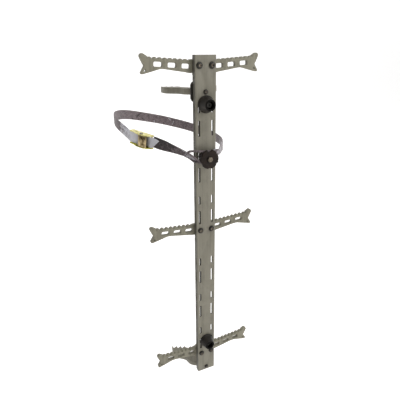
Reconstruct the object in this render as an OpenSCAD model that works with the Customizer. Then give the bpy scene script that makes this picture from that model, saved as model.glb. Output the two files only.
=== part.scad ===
// Three-level climbing stick for a tree: a slotted beam, folding double steps, toothed tree brackets,
// nesting posts, and a webbing strap with a cam buckle.
// Millimetres, +Z up, -Y towards the climber, +Y towards the tree.
// The origin is on the axis of the strap button, at the front face of the beam.

/* [Beam] */
// Width of the beam across its front face
beam_w = 48; // [44:0.5:60]
// Depth of the beam from front to back
beam_d = 12.5; // [11:0.5:16]
// Thickness of the beam's walls
wall = 2.5; // [1.8:0.1:3]
// Half of the width of the hollow rib down the middle of the beam
rib_half = 11.5; // [10:0.1:13]
// Height of the beam above the top step bolts
top_edge = 20; // [16:1:40]
// Length of the beam below the lowest step bolts
bottom_edge = 61; // [58:1:80]
// Height of the top step bolts above the strap button
button_drop = 190; // [165:1:230]

/* [Slots] */
// Distance of the slot columns from the middle of the beam
slot_x = 15.4; // [14.5:0.1:17]
// Width of every slot
slot_w = 4.4; // [3:0.1:5]
// Length of a long slot
slot_long = 34; // [20:1:40]
// Length of a short slot
slot_short = 20; // [12:1:24]
// Distance from the step bolts down to the first short slot
slot_first = 84; // [70:1:90]
// Distance between one pair of slots and the next
slot_pitch = 102.7; // [90:0.1:125]
// Distance from a short slot down to the long slot of its pair
slot_gap = 42.3; // [36:0.1:50]

/* [Steps] */
// Distance from one pair of steps to the next
step_pitch = 364.5; // [300:0.5:440]
// Distance of each step bolt from the middle of the beam
bolt_x = 14; // [13.5:0.1:15]
// Distance from the step bolt to the middle of the upper horn
step_reach = 113; // [100:1:140]
// Thickness of a step
step_t = 9; // [6:0.5:12]
// Radius of the rounded heel round the step bolt
heel_r = 12.4; // [11:0.1:13]
// Number of grip teeth on top of a step
step_teeth = 8; // [4:1:10]
// Length of a lightening slot in a step
step_slot_len = 18; // [12:0.5:20]
// Height of a lightening slot in a step
step_slot_h = 9; // [6:0.5:10]
// Radius of a step bolt's shank
bolt_r = 4; // [3:0.1:4.2]
// Radius of the stop pin under each step
stop_r = 3; // [2:0.1:3.4]

/* [Tree brackets] */
// Thickness of a tree bracket from top to bottom
bracket_t = 12.7; // [8:0.1:16]
// Distance from the step bolts down to the bracket screw, at the top and at the bottom
bracket_drop = 51.5; // [48:0.5:60]
// Sideways distance from the middle to the outer tooth of a bracket
bracket_half = 60; // [50:1:72]
// Distance from the front of the beam to the tip of the outer tooth
bracket_reach = 104; // [90:1:125]
// Width of the swivel pad behind the top of the beam
pad_w = 55; // [50:1:64]
// Height of the swivel pad behind the top of the beam
pad_h = 40; // [30:1:44]
// Radius of the round spacer behind the bottom of the beam
spacer_r = 14; // [12:0.5:16]
// Thickness of the swivel pad and of the round spacer
pad_t = 5; // [3:0.5:8]
// Radius of a bracket screw's shank
screw_r = 3; // [2.5:0.1:3.2]

/* [Nesting posts] */
// Distance from the top step bolts down to the top post
post_drop = 76.5; // [74:0.5:80]
// Distance from the lowest step bolts up to the bottom post
post_rise = 39; // [37:0.5:44]
// Radius of a post's foot
post_foot_r = 18.4; // [15:0.1:20]
// Radius of a post's outer end
post_end_r = 11.6; // [10:0.1:14]
// Height of a post in front of the beam
post_h = 24; // [20:0.5:32]

/* [Strap button] */
// Radius of the strap button
button_r = 21.4; // [18:0.1:24]
// Thickness of the strap button
button_t = 5; // [3:0.5:7]
// Radius of the neck behind the button
neck_r = 8.5; // [6:0.1:9]
// Length of the neck between the beam and the button
neck_h = 15; // [12:0.5:20]

/* [Strap and buckle] */
// Width of the webbing
strap_w = 25; // [20:1:26]
// Thickness of the webbing
strap_t = 1.8; // [1.2:0.1:2.4]
// Length of the cam buckle
buckle_len = 66; // [60:1:74]
// Thickness of each side plate of the cam buckle
buckle_plate = 2.2; // [1.6:0.1:3]
// Gap between the side plates of the cam buckle
buckle_gap = 27; // [26.6:0.1:32]
// Radius of the pin that the cam turns on
cam_pin_r = 2.5; // [2:0.1:3]

/* [Hidden] */
fine = 48;
run_gap = 0.06;
face_gap = 0.1;
over = 1;
olive = [0.42, 0.41, 0.36];
dark = [0.13, 0.11, 0.10];
zinc = [0.80, 0.74, 0.42];
steel = [0.55, 0.55, 0.52];
webbing = [0.36, 0.32, 0.33];

top_z = button_drop;
mid_z = top_z - step_pitch;
low_z = mid_z - step_pitch;
levels = [top_z, mid_z, low_z];
beam_top = top_z + top_edge;
beam_low = low_z - bottom_edge;
top_bracket_z = top_z - bracket_drop;
low_bracket_z = low_z - bracket_drop;
top_post_z = top_z - post_drop;
low_post_z = low_z + post_rise;

washer_t = 0.9;
step_y = beam_d + washer_t + face_gap;
back_washer_y = step_y + step_t + face_gap;
back_washer_t = 1.5;
nut_y = back_washer_y + back_washer_t;
nut_h = 7;
nut_r = 7.5;
sleeve_r = bolt_r + 0.9;
bolt_head_r = 1.75 * bolt_r;
bolt_head_h = 4.4;
stop_u = 4;
stop_z = -16.75;

bracket_y = beam_d + pad_t + face_gap;
hub_r = 11.5;
hub_back = bracket_y + 26;
screw_head_r = 1.75 * screw_r;
screw_head_h = 3.4;
small_nut_r = 5.8;
small_nut_h = 5;

button_bolt_r = 3;
post_screw_r = 3;
pocket_r = 8;
pocket_depth = 13;

// The buckle lies along the left run of the strap: its middle, its turn about Z, and its rise along the run.
buckle_mid = [-104.5, 125.5, 27];
buckle_turn = 122.2;
buckle_rise = 8;
plate_far = -4;
plate_near = 17;
cam_u = -4;
cam_v = 10;
cam_r = 7;
bar_r = 2.2;
bar_u = -28;
guide_u = 27;
bar_v = 0.4;

// Places along the middle of the long strap, from the sewn end of its eye by the right edge of the beam:
// round the button's neck, out to the right, round the back of the trunk and into the buckle.
long_route = [
    [33, 10, 1], [29, 1, -3], [22, -6.5, -7], [14, -8, -11], [4, -8, -13.8], [-7, -11, -13.6],
    [-16, -12, -7.5], [-30, -11.5, 4], [-40, -10.5, 12], [-45, -8, 16.5], [-40, -8, 19],
    [-26, -8, 18], [-12, -8, 16], [0, -8, 15], [12, -8, 14], [22, -6.5, 12], [30.5, 0.5, 9],
    [43, 20, 4], [57, 45, 0], [75, 74, -4], [95, 108, -9], [120, 148, -15], [138, 190, -15],
    [143, 230, -12], [138, 267, -7], [122, 300, 0], [97, 331, 9], [65, 353, 18], [28, 365, 28],
    [-10, 366, 37], [-48, 359, 46], [-82, 341, 54], [-110, 315, 59], [-131, 281, 60],
    [-141, 245, 57], [-142, 210, 52], [-136, 182, 44], [-129.5, 162.5, 36], [-127, 153.5, 32],
    [-124.5, 144.5, 31], [-119.5, 134.5, 29], [-114, 128, 28], [-107.5, 125.5, 27],
    [-103, 120.5, 26.5], [-99, 112.5, 25], [-97, 104.5, 24], [-95, 99, 23], [-91, 92, 22],
    [-86, 83.5, 20.5], [-81, 77, 19.5]];
// Lean of the webbing from upright at each place: 0 stands on edge, 90 faces up and down.
long_lean = [
    0, 5, 35, 75, 90, 90, 90, 90, 90, 90, 90, 90, 90, 90, 85, 45, 15, 5, 0, 0, 0, 0, 0, 0, 0, 0, 0,
    0, 0, 0, 0, 0, 0, 0, 0, 0, 0, 0, 0, 0, 0, 0, 0, 0, 0, 0, 0, 0, 0, 0];
// Width of the webbing at each place, where it is gathered to lie between the beam and the button.
long_width = [
    22, 20, 14, 13, 13, 7, 6, 6, 8, 9, 10, 12, 13, 13, 13, 13, 13, 15, 19, 23, 25, 25, 25, 25, 25,
    25, 25, 25, 25, 25, 25, 25, 25, 25, 25, 25, 25, 25, 25, 25, 25, 25, 25, 25, 25, 25, 25, 25, 24,
    18];
// Places along the middle of the short strap, from the buckle's bar to the eye round the neck.
short_route = [
    [-87, 98, 24], [-80, 87, 21.5], [-70, 70, 18.5], [-60, 54, 15], [-50, 38, 11.5], [-41, 24, 7.5],
    [-34, 12, 3], [-29.5, 3, -1.5], [-26, -3, -5], [-20, -4.8, -8], [-12, -4.5, -10.5], [-3, -6, -11],
    [5, -8, -9.6], [10, -8, -4.6], [10.8, -8, 2], [7.6, -8, 7.8], [0, -7, 10.9], [-9, -5, 9.5],
    [-16, -4.5, 6], [-20, -4.5, 4]];
short_lean = [10, 15, 20, 25, 25, 20, 15, 15, 40, 80, 90, 90, 90, 90, 90, 90, 90, 90, 90, 90];
short_width = [25, 25, 23, 18.5, 15, 12.5, 11.5, 11, 9, 6, 6, 7, 12, 12, 12, 12, 10, 6, 6, 6];

// A cylinder along +Y that starts at the given place.
module rod_y(x, y, z, r, h, r2 = -1) {
    translate([x, y, z]) rotate([-90, 0, 0]) cylinder(h = h, r1 = r, r2 = r2 < 0 ? r : r2, $fn = fine);
}

// A hexagonal prism along +Y.
module hex_y(x, y, z, r, h) {
    translate([x, y, z]) rotate([-90, 0, 0]) cylinder(h = h, r = r, $fn = 6);
}

// A slot that runs up the beam and cuts along Y.
module slot_y(x, y, z, len, w, h) {
    translate([x - w / 2, y, z - len / 2 + w / 2]) cube([w, h, len - w]);
    for (end = [-1, 1]) rod_y(x, y, z + end * (len - w) / 2, w / 2, h);
}

// Cross-section of the beam: a channel with a hollow rib behind its front wall.
module beam_section() {
    chamfer = 1;
    half = beam_w / 2;
    channel_w = half - wall - rib_half;
    difference() {
        polygon([[chamfer - half, 0], [half - chamfer, 0], [half, chamfer], [half, beam_d], [-half, beam_d],
            [-half, chamfer]]);
        for (side = [-1, 1])
            translate([side * (rib_half + channel_w / 2) - channel_w / 2, wall]) square([channel_w, beam_d]);
        translate([wall - rib_half, wall]) square([2 * (rib_half - wall), beam_d - 2 * wall]);
    }
}

slots_per_bay = floor((step_pitch - slot_first - slot_gap - slot_long / 2 - bolt_head_r) / slot_pitch) + 1;
slot_places = [for (bolt = [top_z, mid_z], k = [0 : slots_per_bay - 1]) bolt - slot_first - k * slot_pitch];

module beam() {
    flange_slot_w = 5;
    drain_r = 2.6;
    drain_drop = 23.5;
    color(olive) difference() {
        translate([0, 0, beam_low]) linear_extrude(beam_top - beam_low) beam_section();
        for (z = levels, side = [-1, 1]) {
            rod_y(side * bolt_x, -over, z, bolt_r + run_gap, wall + 2 * over);
            rod_y(side * bolt_x, wall, z, sleeve_r + run_gap, beam_d);
        }
        for (z = levels, side = [-1, 1])
            translate([side * (beam_w - wall) / 2 - wall, 0.64 * beam_d, z - drain_drop]) rotate([0, 90, 0])
                cylinder(h = 2 * wall, r = drain_r, $fn = fine);
        for (z = [top_bracket_z, low_bracket_z]) rod_y(0, -over, z, screw_r + run_gap, beam_d + 2 * over);
        for (z = [top_post_z, low_post_z]) rod_y(0, -over, z, post_screw_r + run_gap, wall + 2 * over);
        rod_y(0, -over, 0, button_bolt_r + run_gap, beam_d + 2 * over);
        for (z = slot_places, side = [-1, 1]) {
            slot_y(side * slot_x, -over, z, slot_short, slot_w, wall + 2 * over);
            slot_y(side * slot_x, -over, z - slot_gap, slot_long, slot_w, wall + 2 * over);
            for (s = [[z, slot_short], [z - slot_gap, slot_long]])
                translate([side * (beam_w - wall) / 2 - wall, (beam_d - flange_slot_w) / 2, s[0] - s[1] / 2])
                    cube([2 * wall, flange_slot_w, s[1]]);
        }
    }
}

// Side view of a right-hand step, measured from its bolt, with u outwards and v upwards.
function tooth_v(u) = 10.8 + 0.068 * u;

module step_outline() {
    tooth_first = 24;
    tooth_last = step_reach - 14;
    tooth_step = (tooth_last - tooth_first) / (step_teeth - 1);
    tooth_r = 0.43 * tooth_step;
    tooth_h = 3.4;
    horn_r = 5.2;
    toe_r = 2.8;
    slot_corner_r = 2.6;
    waist = 0.655 * step_reach;
    difference() {
        union() {
            circle(r = heel_r, $fn = fine);
            translate([step_reach, 18.4]) circle(r = horn_r, $fn = fine);
            translate([step_reach + 1.6, -12]) circle(r = toe_r, $fn = fine);
            polygon([[0, heel_r], [16, 11.4], [19, tooth_v(19) - tooth_h],
                [tooth_last, tooth_v(tooth_last) - tooth_h], [step_reach - 10, 18.6],
                [step_reach - 6, 21], [step_reach - 2.6, 22.9], [step_reach + 5, 17],
                [step_reach + 4.4, 12], [step_reach - 1.2, 4.2], [step_reach - 2.8, 1],
                [step_reach - 1.2, -2], [step_reach + 4.2, -11], [step_reach + 0.6, -14.6],
                [step_reach - 10, -12.2], [step_reach - 22, -9.2], [waist + 6, -6.3], [waist, -5.8],
                [waist - 6, -6.2], [22, -13.3], [15, -14.8], [8, -14.6], [0, -heel_r]]);
            for (k = [0 : step_teeth - 1])
                translate([tooth_first + k * tooth_step, tooth_v(tooth_first + k * tooth_step) - tooth_r])
                    circle(r = tooth_r, $fn = fine);
        }
        for (k = [0 : 2])
            translate([23.5 + k * 0.259 * step_reach, 2.2 * k - 1.2]) rotate(3) {
                square([step_slot_len, step_slot_h - 2 * slot_corner_r], center = true);
                square([step_slot_len - 2 * slot_corner_r, step_slot_h], center = true);
                for (x = [-1, 1], y = [-1, 1])
                    translate([x * (step_slot_len / 2 - slot_corner_r), y * (step_slot_h / 2 - slot_corner_r)])
                        circle(r = slot_corner_r, $fn = fine);
            }
        polygon([[step_reach - 1.4, -9.9], [step_reach - 7.2, -9.2], [step_reach - 4.3, -4.6]]);
    }
}

// A right-hand step hangs on its bolt's shank; the left-hand one is its mirror image.
module step_arm(z, side) {
    color(olive) difference() {
        translate([side * bolt_x, step_y + step_t, z]) rotate([90, 0, 0]) linear_extrude(step_t)
            mirror([side < 0 ? 1 : 0, 0]) step_outline();
        rod_y(side * bolt_x, step_y - over, z, bolt_r + run_gap, step_t + 2 * over);
    }
}

module step_top_left() { step_arm(top_z, -1); }
module step_top_right() { step_arm(top_z, 1); }
module step_mid_left() { step_arm(mid_z, -1); }
module step_mid_right() { step_arm(mid_z, 1); }
module step_low_left() { step_arm(low_z, -1); }
module step_low_right() { step_arm(low_z, 1); }

// A button-head bolt with a hexagonal socket, whose head is in front of the face at y.
module button_head(x, y, z, head_r, head_h) {
    socket_r = 0.42 * head_r;
    difference() {
        union() {
            rod_y(x, y - 0.4 * head_h, z, head_r, 0.4 * head_h);
            rod_y(x, y - head_h, z, 0.62 * head_r, 0.6 * head_h, head_r);
        }
        hex_y(x, y - head_h - over, z, socket_r, 0.6 * head_h + over);
    }
}

module step_bolts() {
    color(dark) for (z = levels, side = [-1, 1]) {
        button_head(side * bolt_x, 0, z, bolt_head_r, bolt_head_h);
        rod_y(side * bolt_x, 0, z, bolt_r, nut_y + nut_h + over);
    }
}

module step_sleeves() {
    color(steel) for (z = levels, side = [-1, 1]) difference() {
        rod_y(side * bolt_x, wall, z, sleeve_r, beam_d - wall);
        rod_y(side * bolt_x, wall - over, z, bolt_r + run_gap, beam_d);
    }
}

// Rings that share the step bolts' axes.
module bolt_rings(y, r, h) {
    for (z = levels, side = [-1, 1]) difference() {
        rod_y(side * bolt_x, y, z, r, h);
        rod_y(side * bolt_x, y - over, z, bolt_r + run_gap, h + 2 * over);
    }
}

module step_shims() { color(dark) bolt_rings(beam_d, 8.4, washer_t); }
module step_washers() { color(steel) bolt_rings(back_washer_y, 8.4, back_washer_t); }

module step_nuts() {
    color(steel) for (z = levels, side = [-1, 1]) difference() {
        hex_y(side * bolt_x, nut_y, z, nut_r, nut_h);
        rod_y(side * bolt_x, nut_y - over, z, bolt_r + run_gap, nut_h + 2 * over);
    }
}

// Each stop pin stands on the back of the beam's front wall, under a step.
module step_stops() {
    color(steel) for (z = levels, side = [-1, 1])
        rod_y(side * (bolt_x + stop_u), wall, z + stop_z, stop_r, step_y + step_t - wall - 0.5);
}

// Plan of a tree bracket: the right half, with the hub at the beam and four teeth against the tree.
module bracket_half_plan() {
    inner = [0.467 * bracket_half, bracket_reach - 15];
    outer = [bracket_half, bracket_reach];
    teeth = 4;
    along = (outer - inner) / (teeth - 1);
    out = [-along[1], along[0]] / norm(along);
    tooth_h = 7;
    valleys = [for (k = [0 : teeth - 2]) inner + (k + 0.5) * along - tooth_h * out];
    tips = [for (k = [0 : teeth - 1]) inner + k * along];
    flat = [0.8, 0.16];
    saw = [for (k = [0 : teeth - 2]) each [tips[k] - flat, tips[k] + flat, valleys[k]]];
    polygon(concat([[-over, bracket_y], [19, bracket_y], [26, bracket_y + 3], [34, 0.27 * bracket_reach],
        [38, 0.37 * bracket_reach], [40, 0.47 * bracket_reach], [bracket_half - 3, 0.62 * bracket_reach],
        [bracket_half + 2, 0.71 * bracket_reach], [bracket_half + 4, 0.79 * bracket_reach],
        [bracket_half + 3.5, 0.91 * bracket_reach], outer + [1.4, 0], outer + [-1, 0]],
        [for (k = [len(saw) - 1 : -1 : 0]) saw[k]],
        [[inner[0] - 2, inner[1] - 7], [inner[0] - 4, inner[1] - 20], [16, hub_back + 9], [9.5, hub_back],
        [-over, hub_back]]));
}

module bracket(z) {
    groove_w = 2.4;
    groove_d = 1.6;
    color(olive) difference() {
        union() {
            translate([0, 0, z - bracket_t / 2]) linear_extrude(bracket_t) {
                bracket_half_plan();
                mirror([1, 0]) bracket_half_plan();
            }
            rod_y(0, bracket_y, z, hub_r, hub_back - bracket_y);
        }
        rod_y(0, bracket_y - over, z, screw_r + run_gap, hub_back);
        for (side = [-1, 1]) translate([side * (bracket_half - 16), bracket_reach - 25, z - bracket_t])
            cylinder(h = 2 * bracket_t, r = 3.6, $fn = 3);
        for (side = [-1, 1], face = [-1, 1])
            translate([side * 0.733 * bracket_half, bracket_reach - 17, z + face * bracket_t / 2])
                rotate([0, 0, side * 25]) cube([36, groove_w, 2 * groove_d], center = true);
    }
}

module bracket_top() { bracket(top_bracket_z); }
module bracket_low() { bracket(low_bracket_z); }

// The pad at the top is a round plate with flats on its four sides.
module swivel_pad() {
    color(dark) difference() {
        intersection() {
            rod_y(0, beam_d, top_bracket_z, 0.56 * pad_w, pad_t);
            translate([-pad_w / 2, beam_d, top_bracket_z - pad_h / 2]) cube([pad_w, pad_t, pad_h]);
        }
        rod_y(0, beam_d - over, top_bracket_z, screw_r + run_gap, pad_t + 2 * over);
    }
}

module swivel_spacer() {
    color(dark) difference() {
        rod_y(0, beam_d, low_bracket_z, spacer_r, pad_t);
        rod_y(0, beam_d - over, low_bracket_z, screw_r + run_gap, pad_t + 2 * over);
    }
}

module bracket_screws() {
    color(dark) for (z = [top_bracket_z, low_bracket_z]) {
        button_head(0, 0, z, screw_head_r, screw_head_h);
        rod_y(0, 0, z, screw_r, hub_back + face_gap + small_nut_h + over);
    }
}

module bracket_nuts() {
    color(steel) for (z = [top_bracket_z, low_bracket_z]) difference() {
        union() {
            rod_y(0, hub_back + face_gap, z, 6.5, 1);
            hex_y(0, hub_back + face_gap + 1, z, small_nut_r, small_nut_h - 1);
        }
        rod_y(0, hub_back, z, screw_r + run_gap, small_nut_h + 2 * over);
    }
}

// A tapered post that the next stick's beam nests over, with a pocket for its screw.
module post(z) {
    foot_h = 4;
    lip = 1.5;
    color(dark) difference() {
        translate([0, 0, z]) rotate([90, 0, 0]) rotate_extrude($fn = 64)
            polygon([[0, 0], [post_foot_r, 0], [post_foot_r, foot_h - lip], [post_foot_r - lip, foot_h],
                [post_end_r + 0.6, post_h - lip], [post_end_r - 1, post_h], [0, post_h]]);
        rod_y(0, -post_h - over, z, pocket_r, pocket_depth + over);
        rod_y(0, -post_h, z, post_screw_r + run_gap, post_h + over);
    }
}

module post_top() { post(top_post_z); }
module post_low() { post(low_post_z); }

module post_screws() {
    head_h = 6;
    head_r = 5;
    seat = pocket_depth - post_h;
    color(dark) for (z = [top_post_z, low_post_z]) {
        difference() {
            rod_y(0, seat - head_h, z, head_r, head_h);
            hex_y(0, seat - head_h - over, z, 2.9, 3 + over);
        }
        rod_y(0, seat, z, post_screw_r, -seat + wall + 5.5);
    }
}

// Square nuts that lie inside the hollow rib, against the back of the beam's front wall.
module post_nuts() {
    nut_side = 10;
    color(steel) for (z = [top_post_z, low_post_z]) difference() {
        translate([-nut_side / 2, wall, z - nut_side / 2]) cube([nut_side, 5, nut_side]);
        rod_y(0, 0, z, post_screw_r + run_gap, beam_d);
    }
}

// The button has lobes round its rim, so that a gloved hand can find it, and a wide notch at the top.
module strap_button() {
    notch_r = 5;
    color(dark) difference() {
        rod_y(0, -neck_h - button_t, 0, button_r, button_t);
        rod_y(0, -neck_h - button_t - over, 0, button_bolt_r + run_gap, button_t + 2 * over);
        rod_y(0, -neck_h - button_t - over, button_r + 0.6, notch_r, button_t + 2 * over);
        for (k = [1 : 5]) rotate([0, 60 * k, 0])
            rod_y(0, -neck_h - button_t - over, button_r + 2.6, 0.7 * notch_r, button_t + 2 * over);
    }
}

module button_neck() {
    color(dark) difference() {
        rod_y(0, -neck_h, 0, neck_r, neck_h);
        rod_y(0, -neck_h - over, 0, button_bolt_r + run_gap, neck_h + 2 * over);
    }
}

module button_bolt() {
    head_h = 4;
    color(steel) {
        hex_y(0, -neck_h - button_t - head_h, 0, small_nut_r, head_h);
        rod_y(0, -neck_h - button_t, 0, button_bolt_r, neck_h + button_t + beam_d + small_nut_h + over);
    }
}

module button_nut() {
    color(steel) difference() {
        hex_y(0, beam_d, 0, small_nut_r, small_nut_h);
        rod_y(0, beam_d - over, 0, button_bolt_r + run_gap, small_nut_h + 2 * over);
    }
}

// The buckle's own directions: u along the strap towards the back of the tree, v away from the tree, w up.
module in_buckle() {
    translate(buckle_mid) rotate([0, 0, buckle_turn]) rotate([0, -buckle_rise, 0]) children();
}

// A cylinder along the buckle's w direction, centred between the side plates.
module rod_w(u, v, r, h) {
    translate([u, v, -h / 2]) cylinder(h = h, r = r, $fn = fine);
}

module buckle_frame() {
    half_gap = buckle_gap / 2;
    color(zinc) in_buckle() difference() {
        union() {
            for (side = [-1, 1])
                translate([0, 0, side * (half_gap + buckle_plate / 2) - buckle_plate / 2])
                    linear_extrude(buckle_plate) polygon([[-buckle_len / 2, plate_far + 2],
                        [2 - buckle_len / 2, plate_far], [buckle_len / 2 - 2, plate_far],
                        [buckle_len / 2, plate_far + 2], [buckle_len / 2, 7], [buckle_len / 2 - 3, 9.5],
                        [16, 12], [6, plate_near], [cam_u - 14, plate_near], [cam_u - 19, plate_near - 3],
                        [-buckle_len / 2, 6]]);
            translate([-18, plate_far - 1.2, -half_gap - buckle_plate])
                cube([32, 1.8, buckle_gap + 2 * buckle_plate]);
        }
        rod_w(cam_u, cam_v, cam_pin_r + run_gap, 60);
        for (u = [bar_u, guide_u]) rod_w(u, bar_v, bar_r + run_gap, 60);
        for (side = [-1, 1]) translate([15, 5.5, side * (half_gap + buckle_plate / 2)])
            cube([9, 3.4, 2 * buckle_plate], center = true);
    }
}

// The cam is a toothed roller with a thumb lever; it turns about its pin to let go of the webbing.
module buckle_cam() {
    cam_len = buckle_gap - 1.4;
    color(zinc) in_buckle() difference() {
        union() {
            rod_w(cam_u, cam_v, cam_r, cam_len);
            translate([0, 0, -cam_len / 2]) linear_extrude(cam_len)
                polygon([[cam_u + 2, cam_v + 6.5], [cam_u - 5, cam_v + 4.2], [cam_u - 19, cam_v + 4.6],
                    [cam_u - 20, cam_v + 6.6], [cam_u - 4, cam_v + 6.6]]);
        }
        rod_w(cam_u, cam_v, cam_pin_r + run_gap, 60);
        rod_w(cam_u, cam_v, cam_r + over, 7);
    }
}

module buckle_cam_pin() {
    color(steel) in_buckle() {
        rod_w(cam_u, cam_v, cam_pin_r, buckle_gap + 2 * buckle_plate + 1.6);
        for (side = [-1, 1]) translate([0, 0, side * (buckle_gap / 2 + buckle_plate + 0.9)])
            rod_w(cam_u, cam_v, cam_pin_r + 1.4, 1.4);
    }
}

// A torsion spring wound round the pin in the middle of the cam.
module buckle_spring() {
    spring_r = cam_pin_r + 1.5;
    color(steel) in_buckle() difference() {
        rod_w(cam_u, cam_v, spring_r, 6);
        rod_w(cam_u, cam_v, cam_pin_r + run_gap, 7);
    }
}

module buckle_bar() {
    color(zinc) in_buckle() rod_w(bar_u, bar_v, bar_r, buckle_gap + 2 * buckle_plate + 1);
}

module buckle_guide() {
    color(zinc) in_buckle() rod_w(guide_u, bar_v, bar_r, buckle_gap + 2 * buckle_plate + 1);
}

// Flat webbing swept along a route. At each place it has a width and a lean.
webbing_edge = [[-1, 0.2], [-0.94, 0.5], [0.94, 0.5], [1, 0.2], [1, -0.2], [0.94, -0.5], [-0.94, -0.5],
    [-1, -0.2]];
full_width = 25;
function unit(v) = v / norm(v);
function heading(p, k) = unit(p[min(k + 1, len(p) - 1)] - p[max(k - 1, 0)]);
function square_to(v, t) = unit(v - (v * t) * t);
function ring(p, t, lean, w) =
    let (wide = square_to([0, sin(lean), cos(lean)], t), thin = cross(t, wide))
    [for (c = webbing_edge) p + c[0] * w / 2 * wide + c[1] * strap_t * thin];

module webbing_along(route, lean, width) {
    share = strap_w / full_width;
    rings = [for (k = [0 : len(route) - 1])
        each ring(route[k], heading(route, k), lean[k], width[k] * share)];
    n = 8;
    last = len(route) - 1;
    sides = [for (k = [0 : last - 1], j = [0 : n - 1])
        [k * n + j, k * n + (j + 1) % n, (k + 1) * n + (j + 1) % n, (k + 1) * n + j]];
    ends = [[for (j = [n - 1 : -1 : 0]) j], [for (j = [0 : n - 1]) last * n + j]];
    polyhedron(points = rings, faces = concat(sides, ends));
}

module strap_long() { color(webbing) webbing_along(long_route, long_lean, long_width); }
module strap_short() { color(webbing) webbing_along(short_route, short_lean, short_width); }

beam();
step_top_left();
step_top_right();
step_mid_left();
step_mid_right();
step_low_left();
step_low_right();
step_bolts();
step_sleeves();
step_shims();
step_washers();
step_nuts();
step_stops();
bracket_top();
bracket_low();
swivel_pad();
swivel_spacer();
bracket_screws();
bracket_nuts();
post_top();
post_low();
post_screws();
post_nuts();
strap_button();
button_neck();
button_bolt();
button_nut();
buckle_frame();
buckle_cam();
buckle_cam_pin();
buckle_spring();
buckle_bar();
buckle_guide();
strap_long();
strap_short();
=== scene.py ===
import math
import bpy
from mathutils import Matrix, Vector


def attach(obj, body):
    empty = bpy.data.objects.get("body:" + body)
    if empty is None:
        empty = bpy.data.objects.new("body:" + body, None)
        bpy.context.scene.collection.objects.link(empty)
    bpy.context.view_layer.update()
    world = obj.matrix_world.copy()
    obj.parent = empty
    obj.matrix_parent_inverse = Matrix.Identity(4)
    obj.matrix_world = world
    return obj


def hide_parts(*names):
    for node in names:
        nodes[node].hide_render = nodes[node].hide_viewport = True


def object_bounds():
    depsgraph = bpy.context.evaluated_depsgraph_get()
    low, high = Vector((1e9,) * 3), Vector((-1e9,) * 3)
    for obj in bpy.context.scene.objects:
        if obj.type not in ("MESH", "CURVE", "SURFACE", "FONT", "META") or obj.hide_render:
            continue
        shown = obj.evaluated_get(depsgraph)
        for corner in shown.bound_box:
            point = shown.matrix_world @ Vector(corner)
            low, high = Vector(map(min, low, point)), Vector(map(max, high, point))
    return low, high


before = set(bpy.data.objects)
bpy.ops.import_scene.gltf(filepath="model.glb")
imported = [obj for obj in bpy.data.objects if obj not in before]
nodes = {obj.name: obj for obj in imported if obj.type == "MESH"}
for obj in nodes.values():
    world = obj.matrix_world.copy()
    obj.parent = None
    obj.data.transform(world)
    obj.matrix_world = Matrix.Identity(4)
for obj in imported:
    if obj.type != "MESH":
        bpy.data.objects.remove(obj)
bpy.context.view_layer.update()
mm = 0.001
print("frame loaded:", len(nodes), "nodes")

# ---- camera, floor and light

view = {"place": (-0.3445, -0.7217, 0.2079), "yaw": 24.54, "pitch": -21.065, "roll": -0.45, "lens": 33.70}

bpy.ops.object.camera_add(location=view["place"])
camera = bpy.context.active_object
camera.name = "camera"
turn = Matrix.Rotation(math.radians(-view["yaw"]), 4, "Z")
turn @= Matrix.Rotation(math.radians(90 + view["pitch"]), 4, "X")
turn @= Matrix.Rotation(math.radians(view["roll"]), 4, "Z")
camera.matrix_world = Matrix.Translation(view["place"]) @ turn
camera.data.lens = view["lens"]
camera.data.sensor_width = 36
camera.data.clip_start = 0.01
camera.data.clip_end = 50
bpy.context.scene.camera = camera


def linear(hexColour):
    values = []
    for k in (0, 2, 4):
        c = int(hexColour[k:k + 2], 16) / 255
        values.append(c / 12.92 if c <= 0.04045 else ((c + 0.055) / 1.055) ** 2.4)
    return (*values, 1.0)


def addNode(material, kind, settings=None, inputs=None, links=None):
    node = material.node_tree.nodes.new(kind)
    for name, value in (settings or {}).items():
        setattr(node, name, value)
    for name, value in (inputs or {}).items():
        node.inputs[name].default_value = value
    for name, source in (links or {}).items():
        other, output = source
        material.node_tree.links.new(other.outputs[output], node.inputs[name])
    return node


def newMaterial(name):
    material = bpy.data.materials.new(name)
    material.use_nodes = True
    material.node_tree.nodes.clear()
    return material


def endMaterial(material, shader):
    addNode(material, "ShaderNodeOutputMaterial", links={"Surface": (shader, "BSDF")})
    return material


def setRamp(node, stops):
    elements = node.color_ramp.elements
    for k, (at, colour) in enumerate(stops):
        stop = elements[k] if k < 2 else elements.new(at)  # a new ramp has two stops
        stop.position = at
        stop.color = linear(colour)


def deselect():
    if bpy.context.object and bpy.context.object.mode != "OBJECT":
        bpy.ops.object.mode_set(mode="OBJECT")
    bpy.ops.object.select_all(action="DESELECT")


def pick(obj):
    deselect()
    obj.select_set(True)
    bpy.context.view_layer.objects.active = obj


def apply(obj, kind, **settings):
    pick(obj)
    modifier = obj.modifiers.new(kind.lower(), kind)
    for name, value in settings.items():
        setattr(modifier, name, value)
    bpy.ops.object.modifier_apply(modifier=modifier.name)


def mend(within):  # welds the mesh that is in edit mode, and turns its faces outwards
    bpy.ops.mesh.select_all(action="SELECT")
    bpy.ops.mesh.remove_doubles(threshold=within)
    bpy.ops.mesh.normals_make_consistent(inside=False)
    bpy.ops.object.mode_set(mode="OBJECT")


def joinAll(parts):  # into the first one
    deselect()
    for part in parts:
        part.select_set(True)
    bpy.context.view_layer.objects.active = parts[0]
    bpy.ops.object.join()
    return bpy.context.active_object


def smooth(degrees):
    bpy.ops.object.shade_smooth_by_angle(angle=math.radians(degrees))


def settle(obj):  # the place goes into the mesh, and the object stays at the origin
    pick(obj)
    bpy.ops.object.transform_apply(location=True, rotation=True, scale=True)


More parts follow.
